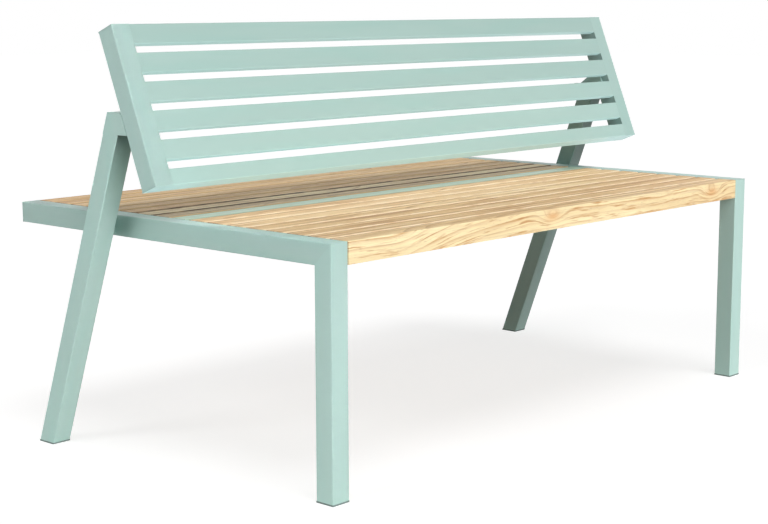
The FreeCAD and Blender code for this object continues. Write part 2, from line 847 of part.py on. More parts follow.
for side_name, side_sign in SIDES.items():
    front_leg(side_name, side_sign)
    side_rail(side_name, side_sign)
    rear_leg(side_name, side_sign)
    backrest_arm(side_name, side_sign)
    leg_block(side_name, side_sign)
    front = {"front": "-half_deck", "slope": "0", "depth": "tube", "wall": "tube_wall"}
    foot(f"front_foot_{side_name}", f"{side_sign} * rail_middle", **front)
    rear = {
        "front": "foot_front",
        "slope": "leg_slope",
        "depth": "leg_depth",
        "wall": "leg_inner_wall",
    }
    foot(f"rear_foot_{side_name}", f"{side_sign} * leg_middle", **rear)
    backrest_side(side_name, side_sign)
    hinge_plate(side_name, side_sign)
    pivot_bolt(side_name, side_sign)
    lock_body(side_name, side_sign)
    lock_pin(side_name, side_sign)

crossbar()
rail_caps()
for row_name, row_sign in {"front": -1, "rear": 1}.items():
    bearer(row_name, row_sign)
    for side_name, side_sign in SIDES.items():
        ledge(row_name, row_sign, side_name, side_sign)
    for slat_number in range(1, SLAT_COUNT + 1):
        slat(f"{row_name}_slat_{slat_number}", slat_number, row_sign)
wood_screws()
for bar_number in range(1, BAR_COUNT + 2):
    backrest_bar(bar_number)
backrest_caps()
pivot_barrels()
hinge_bushes()

doc.recompute()

for feature in doc.Objects:
    if "Invalid" in feature.State or "Error" in feature.State:
        raise ValueError(f"{feature.Name} did not rebuild: {feature.State}")
for part in parts:
    if part.Shape.isNull() or not part.Shape.isValid():
        raise ValueError(f"{part.Label} has no valid shape")

os.makedirs("parts", exist_ok=True)
for part in parts:
    part.Shape.exportStep(f"parts/{part.Label}.step")
print(len(parts), "sub-parts written")
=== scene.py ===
import math
import bpy
from mathutils import Matrix, Vector


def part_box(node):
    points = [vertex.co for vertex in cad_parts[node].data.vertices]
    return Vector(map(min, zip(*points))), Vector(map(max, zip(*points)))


bl_info = {
    "name": "Convertible picnic table bench",
    "version": (1, 0, 0),
    "blender": (4, 5, 0),
    "location": "View3D > Sidebar > Bench",
    "description": "Finishes, studio and camera of a convertible picnic table bench",
    "category": "Object",
}

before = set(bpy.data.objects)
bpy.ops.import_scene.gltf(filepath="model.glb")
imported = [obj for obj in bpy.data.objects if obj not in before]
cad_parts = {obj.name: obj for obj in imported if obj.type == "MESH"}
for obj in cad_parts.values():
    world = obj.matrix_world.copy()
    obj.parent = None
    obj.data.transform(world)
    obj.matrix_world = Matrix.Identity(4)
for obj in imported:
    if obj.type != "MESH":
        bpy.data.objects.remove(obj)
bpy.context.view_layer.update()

PHOTO_WIDTH = 768
SENSOR_WIDTH = 36.0
WHITE = (1.0, 1.0, 1.0, 1.0)


def from_screen(red, green, blue):
    """A colour read on a screen, from 0 to 255, as the linear colour that a shader takes."""
    linear = []
    for part in (red, green, blue):
        share = part / 255
        low = share <= 0.04045
        linear.append(share / 12.92 if low else ((share + 0.055) / 1.055) ** 2.4)
    return (*linear, 1.0)


def colour_property(name, description, red, green, blue):
    return bpy.props.FloatVectorProperty(
        name=name,
        description=description,
        subtype="COLOR",
        size=4,
        min=0.0,
        max=1.0,
        default=from_screen(red, green, blue),
    )


def share_property(name, description, default, most=1.0):
    return bpy.props.FloatProperty(
        name=name, description=description, subtype="FACTOR", default=default, min=0.0, max=most
    )


def length_property(name, description, metres):
    return bpy.props.FloatProperty(
        name=name, description=description, default=metres, unit="LENGTH"
    )


def angle_property(name, description, radians):
    return bpy.props.FloatProperty(
        name=name, description=description, default=radians, subtype="ANGLE"
    )


def number_property(name, description, level):
    return bpy.props.FloatProperty(name=name, description=description, default=level)


class PaintSettings(bpy.types.PropertyGroup):
    coat: colour_property("Coat", "Powder coat on all the steel tubes", 183, 214, 206)
    mottle: share_property("Mottle", "How much the coat's tone drifts", 0.035, most=0.3)
    roughness: share_property("Roughness", "Roughness of the coat", 0.42)
    peel_size: length_property("Peel size", "Width of one dimple in the coat", 0.0016)
    peel_height: length_property("Peel height", "Depth of the coat's dimples", 0.00003)


class WoodSettings(bpy.types.PropertyGroup):
    early: colour_property("Early wood", "Pale wood between the lines of the grain", 242, 205, 150)
    late: colour_property("Late wood", "Dark line at the end of each year's growth", 174, 120, 74)
    fibre: colour_property("Fibre", "Fine streaks along the board", 150, 100, 62)
    # pale wood for the streaks, and the painted highlight along the front boards' front edge
    worn: colour_property("Worn edge", "Pale wood where an edge is rubbed", 255, 232, 196)
    # painted shade: the dark front edge of two boards behind the crossbar, where the gap lies in
    # shade
    oiled: colour_property("Oiled edge", "Dark edge of a board behind the crossbar", 108, 84, 58)
    # painted light: the front board's face is painted paler than its top, where it looks at the
    # lamps
    face_early: colour_property(
        "Face early wood", "Pale wood of the front board's face", 255, 234, 186
    )
    face_late: colour_property(
        "Face late wood", "Grain line of the front board's face", 200, 140, 78
    )
    knot: colour_property("Knot", "Heart of a knot", 236, 172, 108)
    ring_width: length_property("Ring width", "Growth in one year", 0.0065)
    roughness: share_property("Roughness", "Roughness of the oiled wood's palest fibres", 0.45)


class SmallPartSettings(bpy.types.PropertyGroup):
    foot: colour_property("Foot", "Plastic of the feet", 118, 136, 131)
    bush: colour_property("Bush", "Plastic of the hinge bushes", 52, 53, 54)
    steel: colour_property("Steel", "Stainless steel of the bolts, screws and locks", 176, 176, 172)


class StudioSettings(bpy.types.PropertyGroup):
    front_level: number_property("Front level", "Broad light from the front and left", 1.85)
    side_level: number_property("Side level", "Broad light on the outside of the left end", 1.12)
    inner_level: number_property("Inner level", "The same light on all that isn't shaded", 0.42)
    high_level: number_property("High level", "Small light for the shadows on the deck", 1.15)
    back_level: number_property("Back level", "Broad low light on the back and right end", 1.35)
    low_level: number_property("Low level", "White cards near the floor in front", 0.4)
    under_level: number_property("Under level", "Cool card under the backrest", 3.0)
    floor_level: number_property("Floor level", "Overhead light that the floor alone takes", 1.4)
    floor_side_level: number_property("Floor side level", "The floor's light from the left", 0.62)
    fill_level: number_property("Fill level", "Light from all round", 0.03)
    floor_size: length_property("Floor size", "Side of the square floor", 40.0)


class CameraSettings(bpy.types.PropertyGroup):
    place: bpy.props.FloatVectorProperty(
        name="Place",
        description="Where the camera stands",
        default=(-2.5443, -2.2723, 0.8421),
        unit="LENGTH",
    )
    yaw: angle_property("Yaw", "Turn to the right of straight ahead", 0.8290)
    pitch: angle_property("Pitch", "Tilt below the horizon", 0.1593)
    roll: angle_property("Roll", "Turn about the line of sight", -0.0026)
    focal_pixels: number_property("Focal length", "In pixels of the photograph", 1614.8)


def nodes_named(*starts):
    """The CAD pieces whose names begin with one of the given words."""
    return [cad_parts[name] for name in sorted(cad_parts) if name.startswith(starts)]


def add_node(tree, kind, **settings):
    made = tree.nodes.new(kind)
    for name, setting in settings.items():
        setattr(made, name, setting)
    return made


def feed(tree, socket, source):
    """Joins an output to a socket, or writes a plain value on it."""
    if isinstance(source, bpy.types.NodeSocket):
        tree.links.new(source, socket)
    else:
        socket.default_value = source


def math_node(tree, operation, *terms):
    made = add_node(tree, "ShaderNodeMath", operation=operation)
    for socket, term in zip(made.inputs, terms):
        feed(tree, socket, term)
    return made.outputs["Value"]


def times(tree, first, second):
    return math_node(tree, "MULTIPLY", first, second)


def vector_node(tree, operation, *terms, output="Vector"):
    made = add_node(tree, "ShaderNodeVectorMath", operation=operation)
    for socket, term in zip(made.inputs, terms):
        feed(tree, socket, term)
    return made.outputs[output]


def scaled(tree, vector, factor):
    made = add_node(tree, "ShaderNodeVectorMath", operation="SCALE")
    feed(tree, made.inputs["Vector"], vector)
    feed(tree, made.inputs["Scale"], factor)
    return made.outputs["Vector"]


def stretched(tree, vector, factors):
    """A vector times a factor for each of its parts."""
    return vector_node(tree, "MULTIPLY", vector, factors)


def split(tree, vector):
    made = add_node(tree, "ShaderNodeSeparateXYZ")
    feed(tree, made.inputs["Vector"], vector)
    return made.outputs


def noise_node(tree, vector, seed=0.0, scale=1.0, detail=2.0, roughness=0.5, output="Fac"):
    made = add_node(tree, "ShaderNodeTexNoise", noise_dimensions="4D")
    feed(tree, made.inputs["Vector"], vector)
    feed(tree, made.inputs["W"], seed)
    feed(tree, made.inputs["Scale"], scale)
    feed(tree, made.inputs["Detail"], detail)
    feed(tree, made.inputs["Roughness"], roughness)
    return made.outputs[output]


# A Mix node names its sockets alike for every kind of data, so colours are found by place.
MIX_FIRST, MIX_SECOND, MIX_RESULT = 6, 7, 2


def mix(tree, factor, first, second, blend="MIX"):
    made = add_node(tree, "ShaderNodeMix", data_type="RGBA", blend_type=blend)
    feed(tree, made.inputs[0], factor)
    feed(tree, made.inputs[MIX_FIRST], first)
    feed(tree, made.inputs[MIX_SECOND], second)
    return made.outputs[MIX_RESULT]


def tinted(tree, colour, red, green, blue):
    """A colour times a factor for each channel."""
    shade = add_node(tree, "ShaderNodeCombineColor")
    for channel, factor in (("Red", red), ("Green", green), ("Blue", blue)):
        feed(tree, shade.inputs[channel], factor)
    return mix(tree, 1.0, colour, shade.outputs["Color"], "MULTIPLY")


def spread(tree, value, low, high, new_low=0.0, new_high=1.0):
    """Stretches a band of a value over another band, held at its ends."""
    made = add_node(tree, "ShaderNodeMapRange", clamp=True)
    for socket, term in zip(made.inputs, (value, low, high, new_low, new_high)):
        feed(tree, socket, term)
    return made.outputs["Result"]


def uneven(tree, noise, amount):
    """A factor about 1 that follows a noise, as far up and down as the amount."""
    high = math_node(tree, "ADD", 1.0, amount)
    low = math_node(tree, "SUBTRACT", 1.0, amount)
    return spread(tree, noise, 0.3, 0.7, low, high)


# Kinds of sockets in the node groups
NUMBER = "NodeSocketFloat"
COLOUR = "NodeSocketColor"
VECTOR = "NodeSocketVector"
NOWHERE = (0.0, 0.0, 0.0)
GREY = (0.5, 0.5, 0.5, 1.0)
GROUP_OUTPUTS = (("Colour", COLOUR), ("Roughness", NUMBER), ("Height", NUMBER))


def effect_group(name, inputs, build):
    """The node group of this name, which is built when it is first wanted."""
    if name in bpy.data.node_groups:
        return bpy.data.node_groups[name]
    tree = bpy.data.node_groups.new(name, "ShaderNodeTree")
    for label, kind, default in inputs:
        socket = tree.interface.new_socket(label, in_out="INPUT", socket_type=kind)
        socket.default_value = default
    for label, kind in GROUP_OUTPUTS:
        tree.interface.new_socket(label, in_out="OUTPUT", socket_type=kind)
    given = tree.nodes.new("NodeGroupInput").outputs
    made = tree.nodes.new("NodeGroupOutput").inputs
    for (label, kind), source in zip(GROUP_OUTPUTS, build(tree, given)):
        feed(tree, made[label], source)
    return tree


COAT_INPUTS = (
    ("Place", VECTOR, NOWHERE),
    ("Stretch", VECTOR, (1.0, 1.0, 1.0)),
    ("Coat", COLOUR, GREY),
    # painted light and shade: a slope of tone along X, Y and Z, and shade painted on one face
    ("Fade", VECTOR, NOWHERE),
    ("Face", VECTOR, NOWHERE),
    ("Face level", NUMBER, 0.0),
    ("Grime", NUMBER, 0.0),
    ("Grime start", NUMBER, 0.0),
    ("Grime end", NUMBER, 1.0),
    ("Grime power", NUMBER, 1.0),
    ("Mottle", NUMBER, 0.05),
    ("Roughness", NUMBER, 0.4),
    ("Peel size", NUMBER, 0.0016),
)
# the coat's cooler clouds, as a share of each channel
COOL_CLOUD = (0.93, 1.0, 0.99, 1.0)
# depth under a face, in metres, where its painted shade starts to thin and where it ends
GRIME_DEPTH = (0.0001, 0.0003)


def cleanness(tree, given):
    """Less than 1 where shade is painted: on one face of the tube, and more of it higher up."""
    height = vector_node(tree, "DOT_PRODUCT", given["Place"], given["Face"], output="Value")
    depth = math_node(tree, "SUBTRACT", given["Face level"], height)
    on_face = spread(tree, depth, *GRIME_DEPTH, given["Grime"], 0.0)
    upward = split(tree, given["Place"])["Z"]
    climb = spread(tree, upward, given["Grime start"], given["Grime end"])
    climb = math_node(tree, "POWER", climb, given["Grime power"])
    return math_node(tree, "SUBTRACT", 1.0, times(tree, on_face, climb))


def build_coat(tree, given):
    """Powder coat: a slow drift of tone along the tube, painted light and shade, and a fine dimpled
    skin.
    """
    along = stretched(tree, given["Place"], given["Stretch"])
    drift = noise_node(tree, along, detail=3.0, roughness=0.55)
    cloud = noise_node(tree, along, seed=4.0, scale=2.7)
    tone = uneven(tree, drift, given["Mottle"])
    toned = tinted(tree, given["Coat"], tone, tone, tone)
    cool = mix(tree, 1.0, given["Coat"], COOL_CLOUD, "MULTIPLY")
    colour = mix(tree, spread(tree, cloud, 0.45, 0.65, 0.0, 0.6), toned, cool)
    # painted light and shade: the tone changes along a slope, times the painted shade on one face
    fade = vector_node(tree, "DOT_PRODUCT", given["Place"], given["Fade"], output="Value")
    weather = times(tree, math_node(tree, "ADD", 1.0, fade), cleanness(tree, given))
    peel_scale = math_node(tree, "DIVIDE", 1.0, given["Peel size"])
    peel = noise_node(tree, given["Place"], scale=peel_scale, detail=1.0)
    rub = math_node(tree, "SUBTRACT", cloud, 0.5)
    roughness = math_node(tree, "MULTIPLY_ADD", rub, 0.18, given["Roughness"])
    return scaled(tree, colour, weather), roughness, peel


GRAIN_INPUTS = (
    ("Place", VECTOR, NOWHERE),
    ("Pith", VECTOR, NOWHERE),
    ("Lean", VECTOR, NOWHERE),
    ("Flare", NUMBER, 0.0),
    ("Flare start", NUMBER, 0.0),
    ("Flare length", NUMBER, 1.0),
    ("Knot one", VECTOR, (0.0, 9.0, 9.0)),
    ("Knot two", VECTOR, (0.0, 9.0, 9.0)),
    ("Knot size", NUMBER, 0.008),
    ("Seed", NUMBER, 0.0),
    ("Ring width", NUMBER, 0.006),
    ("Wander", NUMBER, 1.0),
    ("Front", NUMBER, -9.0),
    ("Back", NUMBER, 9.0),
    ("Top", NUMBER, 9.0),
    ("Arris", NUMBER, 0.003),
    ("Early", COLOUR, GREY),
    ("Late", COLOUR, GREY),
    ("Face early", COLOUR, GREY),
    ("Face late", COLOUR, GREY),
    ("Fibre", COLOUR, GREY),
    ("Knot", COLOUR, GREY),
    ("Worn", COLOUR, GREY),
    ("Edge", COLOUR, GREY),
    ("Streaks", NUMBER, 0.3),
    ("Strokes", NUMBER, 0.0),
    ("Tone", NUMBER, 1.0),
    ("Roughness", NUMBER, 0.55),
)
# Waves of each noise in a metre along X, Y and Z: few along the board and many across it
FADE_WAVES = (7.0, 30.0, 30.0)
STREAK_WAVES = (3.5, 95.0, 60.0)
FIBRE_WAVES = (9.0, 420.0, 420.0)
PORE_WAVES = (70.0, 1100.0, 1100.0)
PATCH_WAVES = (2.2, 16.0, 16.0)
# breaks in the front edge's painted highlight and shade
RUB_WAVES = (26.0, 60.0, 60.0)
# waves of the front face's strokes along X and across the rings
STROKE_WAVES = (17.0, 240.0)
# waves and detail of the noises that push the rings aside, and their push in metres
TRUNK_WANDER = ((3.2, 7.0, 7.0), 1.0, (0.0, 0.05, 0.05))
RING_WANDER = ((14.0, 90.0, 90.0), 2.0, (0.0, 0.004, 0.004))
# share of a year's growth where its dark line starts, and where it is darkest
LINE_START, LINE_PEAK = 0.35, 0.93
# depth behind the front, in metres, over which the face's own colours give way
FACE_DEPTH = (0.0015, 0.003)
# distance from the back edge, in metres, over which the painted shade of the gap thins
OIL_DEPTH = (0.002, 0.008)
# a knot is an oval, longer along the board
KNOT_STRETCH = (0.42, 0.5, 1.0)
# rings part by this many metres at a knot, over this many times its size
KNOT_PUSH = 0.024
KNOT_REACH = 1.8


def bell(tree, distance, reach):
    """A smooth bump of height 1 that dies away over a distance."""
    share = math_node(tree, "DIVIDE", distance, reach)
    return math_node(tree, "EXPONENT", times(tree, times(tree, share, share), -1.0))


def ring_radius(tree, given, parts):
    """Distance from the pith, bent by the trunk's wander, its flared foot and its knots, and
    how near a point is to the heart of a knot."""
    leaning = vector_node(tree, "SUBTRACT", given["Place"], given["Pith"])
    leaning = vector_node(tree, "ADD", leaning, scaled(tree, given["Lean"], parts["X"]))
    # the trunk wanders slowly, and each ring is a little uneven
    for waves, detail, push in (TRUNK_WANDER, RING_WANDER):
        moving = stretched(tree, given["Place"], waves)
        aside = noise_node(tree, moving, seed=given["Seed"], detail=detail, output="Color")
        aside = vector_node(tree, "SUBTRACT", aside, (0.5, 0.5, 0.5))
        aside = scaled(tree, aside, given["Wander"])
        leaning = vector_node(tree, "ADD", leaning, stretched(tree, aside, push))
    across = stretched(tree, leaning, (0.0, 1.0, 1.0))
    radius = vector_node(tree, "LENGTH", across, output="Value")
    # the trunk's foot flares, so the rings run out through the board there
    run = math_node(tree, "SUBTRACT", given["Flare start"], parts["X"])
    run = math_node(tree, "DIVIDE", run, given["Flare length"])
    run = math_node(tree, "SMOOTH_MIN", run, 0.0, 0.5)
    flare = times(tree, given["Flare"], math_node(tree, "EXPONENT", run))
    radius = math_node(tree, "ADD", radius, flare)
    # rings part round each knot
    hearts = []
    for knot in ("Knot one", "Knot two"):
        away = vector_node(tree, "SUBTRACT", given["Place"], given[knot])
        away = vector_node(tree, "LENGTH", stretched(tree, away, KNOT_STRETCH), output="Value")
        bend = bell(tree, away, times(tree, given["Knot size"], KNOT_REACH))
        radius = math_node(tree, "MULTIPLY_ADD", bend, KNOT_PUSH, radius)
        hearts.append(bell(tree, away, given["Knot size"]))
    return radius, math_node(tree, "MAXIMUM", *hearts)


def growth_lines(tree, given, radius):
    """The dark line at the end of each year's growth, stronger in some years than in others,
    which fades and comes back along the board."""
    years = math_node(tree, "DIVIDE", radius, given["Ring width"])
    years = math_node(tree, "ADD", years, given["Seed"])
    growth = math_node(tree, "FRACT", years)
    summer = spread(tree, growth, LINE_START, LINE_PEAK)
    winter = spread(tree, growth, LINE_PEAK, 1.0, 1.0, 0.0)
    line = times(tree, times(tree, summer, summer), winter)
    luck = add_node(tree, "ShaderNodeTexWhiteNoise", noise_dimensions="1D")
    feed(tree, luck.inputs["W"], math_node(tree, "FLOOR", years))
    strength = math_node(tree, "MULTIPLY_ADD", luck.outputs["Value"], 0.6, 0.35)
    fade_place = stretched(tree, given["Place"], FADE_WAVES)
    fade = noise_node(tree, fade_place, seed=given["Seed"], detail=1.0)
    return times(tree, times(tree, line, strength), spread(tree, fade, 0.35, 0.62, 0.35, 1.0))


def face_strokes(tree, given, parts, radius):
    """Short dark strokes that follow the rings of the front face."""
    along, across = STROKE_WAVES
    place = add_node(tree, "ShaderNodeCombineXYZ")
    feed(tree, place.inputs["X"], times(tree, parts["X"], along))
    feed(tree, place.inputs["Y"], times(tree, radius, across))
    strokes = noise_node(tree, place.outputs["Vector"], seed=given["Seed"])
    return spread(tree, strokes, 0.54, 0.68, 0.0, given["Strokes"])


def board_tone(tree, given, colour):
    """The whole board's own tone, with patches along it. A darker board is redder too."""
    patches = noise_node(tree, stretched(tree, given["Place"], PATCH_WAVES), seed=given["Seed"])
    level = times(tree, given["Tone"], spread(tree, patches, 0.25, 0.75, 0.88, 1.08))
    red = math_node(tree, "POWER", level, 0.6)
    blue = math_node(tree, "POWER", level, 1.4)
    return tinted(tree, colour, red, level, blue)


def board_edges(tree, given, parts, from_front, colour):
    """Painted shade darkens the back edge, where the gap lies. The front edge takes the board's
    edge colour, broken here and there: a painted highlight on the front boards and painted shade on
    two boards behind the crossbar."""
    from_back = math_node(tree, "SUBTRACT", given["Back"], parts["Y"])
    # painted shade along the back edge, where the gap lies
    oil = spread(tree, from_back, *OIL_DEPTH, 0.75, 0.0)
    colour = mix(tree, oil, colour, given["Fibre"])
    from_top = math_node(tree, "SUBTRACT", given["Top"], parts["Z"])
    edge = math_node(tree, "MAXIMUM", from_front, from_top)
    near = spread(tree, edge, given["Arris"], times(tree, given["Arris"], 1.4), 1.0, 0.0)
    rub = noise_node(tree, stretched(tree, given["Place"], RUB_WAVES), seed=given["Seed"])
    rub = spread(tree, rub, 0.3, 0.55, 0.25, 1.0)
    return mix(tree, times(tree, near, rub), colour, given["Edge"])


def build_grain(tree, given):
    """A board sawn from a log: year rings round a pith that lies beside the board and leans
    against its length, with knots, fibres and pores, and an edge of its own colour."""
    place = given["Place"]
    seed = given["Seed"]
    parts = split(tree, place)
    radius, heart = ring_radius(tree, given, parts)
    line = growth_lines(tree, given, radius)
    from_front = math_node(tree, "SUBTRACT", parts["Y"], given["Front"])
    face = spread(tree, from_front, *FACE_DEPTH, 1.0, 0.0)
    early = mix(tree, face, given["Early"], given["Face early"])
    late = mix(tree, face, given["Late"], given["Face late"])
    colour = mix(tree, line, early, late)
    # long streaks of darker and of paler wood, weak on the front face
    streaks = noise_node(
        tree, stretched(tree, place, STREAK_WAVES), seed=seed, detail=3.0, roughness=0.6
    )
    amount = times(tree, given["Streaks"], spread(tree, face, 0.0, 1.0, 1.0, 0.3))
    dark = times(tree, spread(tree, streaks, 0.47, 0.66), amount)
    colour = mix(tree, dark, colour, late)
    pale = times(tree, spread(tree, streaks, 0.45, 0.3), amount)
    colour = mix(tree, pale, colour, given["Worn"])
    fibres = noise_node(
        tree, stretched(tree, place, FIBRE_WAVES), seed=seed, detail=3.0, roughness=0.6
    )
    colour = mix(tree, spread(tree, fibres, 0.52, 0.85, 0.0, 0.5), colour, given["Fibre"])
    # short pores and flecks
    pores = noise_node(tree, stretched(tree, place, PORE_WAVES), seed=seed, detail=1.0)
    pores = spread(tree, pores, 0.66, 0.74)
    colour = mix(tree, times(tree, pores, 0.4), colour, given["Fibre"])
    colour = mix(tree, times(tree, heart, 0.6), colour, given["Knot"])
    strokes = times(tree, face_strokes(tree, given, parts, radius), face)
    colour = mix(tree, strokes, colour, given["Face late"])
    colour = board_tone(tree, given, colour)
    colour = board_edges(tree, given, parts, from_front, colour)
    rise = math_node(tree, "MULTIPLY_ADD", fibres, 0.6, times(tree, line, 0.4))
    height = math_node(tree, "SUBTRACT", rise, times(tree, pores, 0.5))
    roughness = math_node(tree, "MULTIPLY_ADD", fibres, 0.2, given["Roughness"])
    return colour, roughness, height


WORKED_INPUTS = (
    ("Place", VECTOR, NOWHERE),
    ("Stretch", VECTOR, (1.0, 1.0, 1.0)),
    ("Colour", COLOUR, GREY),
    ("Contrast", NUMBER, 0.1),
    ("Roughness", NUMBER, 0.4),
)


def build_worked(tree, given):
    """Moulded plastic or worked steel: scratches or grains stretched one way."""
    along = stretched(tree, given["Place"], given["Stretch"])
    grain = noise_node(tree, along, detail=3.0, roughness=0.65)
    tone = uneven(tree, grain, given["Contrast"])
    drift = math_node(tree, "SUBTRACT", grain, 0.5)
    roughness = math_node(tree, "MULTIPLY_ADD", drift, 0.3, given["Roughness"])
    return tinted(tree, given["Colour"], tone, tone, tone), roughness, grain


def surface(name, group, values, relief, metallic=0.0, specular=0.5):
    """A material whose colour, roughness and relief come from one node group. The relief is
    the depth of the bumps in metres."""
    material = bpy.data.materials.new(name)
    material.use_nodes = True
    tree = material.node_tree
    tree.nodes.clear()
    effect = add_node(tree, "ShaderNodeGroup", node_tree=group)
    place = add_node(tree, "ShaderNodeTexCoord").outputs["Object"]
    for label, given in {"Place": place, **values}.items():
        feed(tree, effect.inputs[label], given)
    bump = add_node(tree, "ShaderNodeBump")
    bump.inputs["Strength"].default_value = 1.0
    bump.inputs["Distance"].default_value = relief
    feed(tree, bump.inputs["Height"], effect.outputs["Height"])
    shader = add_node(tree, "ShaderNodeBsdfPrincipled")
    feed(tree, shader.inputs["Base Color"], effect.outputs["Colour"])
    feed(tree, shader.inputs["Roughness"], effect.outputs["Roughness"])
    feed(tree, shader.inputs["Normal"], bump.outputs["Normal"])
    shader.inputs["Metallic"].default_value = metallic
    shader.inputs["Specular IOR Level"].default_value = specular
    end = add_node(tree, "ShaderNodeOutputMaterial")
    feed(tree, end.inputs["Surface"], shader.outputs["BSDF"])
    return material


def dress(pieces, material):
    for piece in pieces:
        piece.data.materials.clear()
        piece.data.materials.append(material)


# Waves of the coat's tone in a metre, few along a tube and many across it
ALONG_TUBE, ACROSS_TUBE = 1.6, 11.0
CROSSWISE = (ALONG_TUBE, ACROSS_TUBE, ACROSS_TUBE)
LENGTHWISE = (ACROSS_TUBE, ALONG_TUBE, ACROSS_TUBE)
UPRIGHT = (ACROSS_TUBE, ACROSS_TUBE, ALONG_TUBE)
COAT_SHINE = 0.45


def coat_material(name, stretch, tone=1.0, fade=NOWHERE, warmth=0.0, grime=None):
    """The coat times a tone; a tone below 1 on some pieces is painted shade. The fade is the change
    of tone in each metre along X, Y and Z, painted light and shade, and warmth is a share that red
    gains and blue loses. The last settings paint shade on one face."""
    paint = bpy.context.scene.bench_paint
    red, green, blue, solid = paint.coat
    values = {
        "Stretch": stretch,
        "Coat": (red * (1 + warmth) * tone, green * tone, blue * (1 - warmth) * tone, solid),
        "Fade": fade,
        "Mottle": paint.mottle,
        "Roughness": paint.roughness,
        "Peel size": paint.peel_size,
    }
    values.update(grime or {})
    group = effect_group("Powder coat", COAT_INPUTS, build_coat)
    return surface(f"coat_{name}", group, values, paint.peel_height, specular=COAT_SHINE)


def inner_grime(piece, amount):
    """Painted shade all over the face of a right-hand piece that looks at the middle of the bench.
    """
    low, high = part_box(piece.name)
    return {"Face": (-1.0, 0.0, 0.0), "Face level": -low.x, "Grime": amount, "Grime end": low.z}


class BENCH_OT_coat_frame(bpy.types.Operator):
    """Powder coat on the legs, rails, crossbar, arms and what is welded to them"""

    bl_idname = "bench.coat_frame"
    bl_label = "Coat the frame"

    LEG_TILT = math.radians(20.35)
    # for the left and the right rear leg: the height where the painted shade on the front face
    # starts, how steeply it grows, how dark it ends, and the leg's change of tone in a metre of
    # height, which darkens the right leg upwards as painted shade
    LEG_GRIME = ((0.44, 2.0, 0.74, 0.0), (0.0, 1.0, 0.5, -0.5))
    # painted shade: the right arm's coat is darker, and its face towards the middle darker still
    ARM_TONE, ARM_GRIME = 0.82, 0.55
    # painted shade: the rails' coat is darker than the legs'
    RAIL_TONE = 0.83
    # painted light and shade: paler towards the left and the front
    RAIL_FADE = (-0.094, -0.2, 0.0)
    # the crossbar's coat is paler and warmer than the rest of the frame
    CROSSBAR_TONE, CROSSBAR_WARMTH = 1.1, 0.14

    def rear_leg_coat(self, leg, start, power, amount, climb):
        """Upright coat with painted shade on its front face, darker towards the corner under the
        arm.
        """
        low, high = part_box(leg.name)
        face = Vector((0.0, -math.cos(self.LEG_TILT), -math.sin(self.LEG_TILT)))
        grime = {
            "Face": face,
            "Face level": face.dot(Vector((0.0, low.y, high.z))),
            "Grime": amount,
            "Grime start": start,
            "Grime end": high.z,
            "Grime power": power,
        }
        return coat_material(leg.name, UPRIGHT, fade=(0.0, 0.0, climb), grime=grime)

    def execute(self, context):
        upright = coat_material("upright", UPRIGHT)
        dress(nodes_named("front_leg", "backrest_arm_left"), upright)
        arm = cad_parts["backrest_arm_right"]
        grime = inner_grime(arm, self.ARM_GRIME)
        dress([arm], coat_material(arm.name, UPRIGHT, self.ARM_TONE, grime=grime))
        for leg, grime in zip(nodes_named("rear_leg"), self.LEG_GRIME):
            dress([leg], self.rear_leg_coat(leg, *grime))
        rails = coat_material("lengthwise", LENGTHWISE, self.RAIL_TONE, self.RAIL_FADE)
        dress(nodes_named("side_rail", "slat_ledge", "centre_bearer", "leg_block"), rails)
        crossbar = coat_material(
            "crosswise", CROSSWISE, self.CROSSBAR_TONE, warmth=self.CROSSBAR_WARMTH
        )
        dress(nodes_named("seat_crossbar", "pivot_barrels"), crossbar)
        return {"FINISHED"}


class BENCH_OT_coat_backrest(bpy.types.Operator):
    """Powder coat on the backrest's side members, bars, caps and hinge plates"""

    bl_idname = "bench.coat_backrest"
    bl_label = "Coat the backrest"

    # painted shade: darker copies of the coat, from the top bar to the bottom bar, darkest at the
    # top
    BAR_TONES = (0.75, 0.78, 0.81, 0.83, 0.87, 0.83)
    # painted shade: the sides' coat is darker, and the right side's face towards the middle darker
    # still
    SIDE_TONE, SIDE_GRIME = 0.82, 0.35
    # painted light: paler towards the left
    FADE = (-0.06, 0.0, 0.0)

    def execute(self, context):
        for bar, tone in zip(nodes_named("backrest_bar"), self.BAR_TONES):
            dress([bar], coat_material(bar.name, CROSSWISE, tone, self.FADE))
        sides = coat_material("sides", UPRIGHT, self.SIDE_TONE, self.FADE)
        dress(nodes_named("backrest_side", "hinge_plate"), sides)
        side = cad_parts["backrest_side_right"]
        grime = inner_grime(side, self.SIDE_GRIME)
        dress([side], coat_material(side.name, UPRIGHT, self.SIDE_TONE, self.FADE, grime=grime))
        return {"FINISHED"}


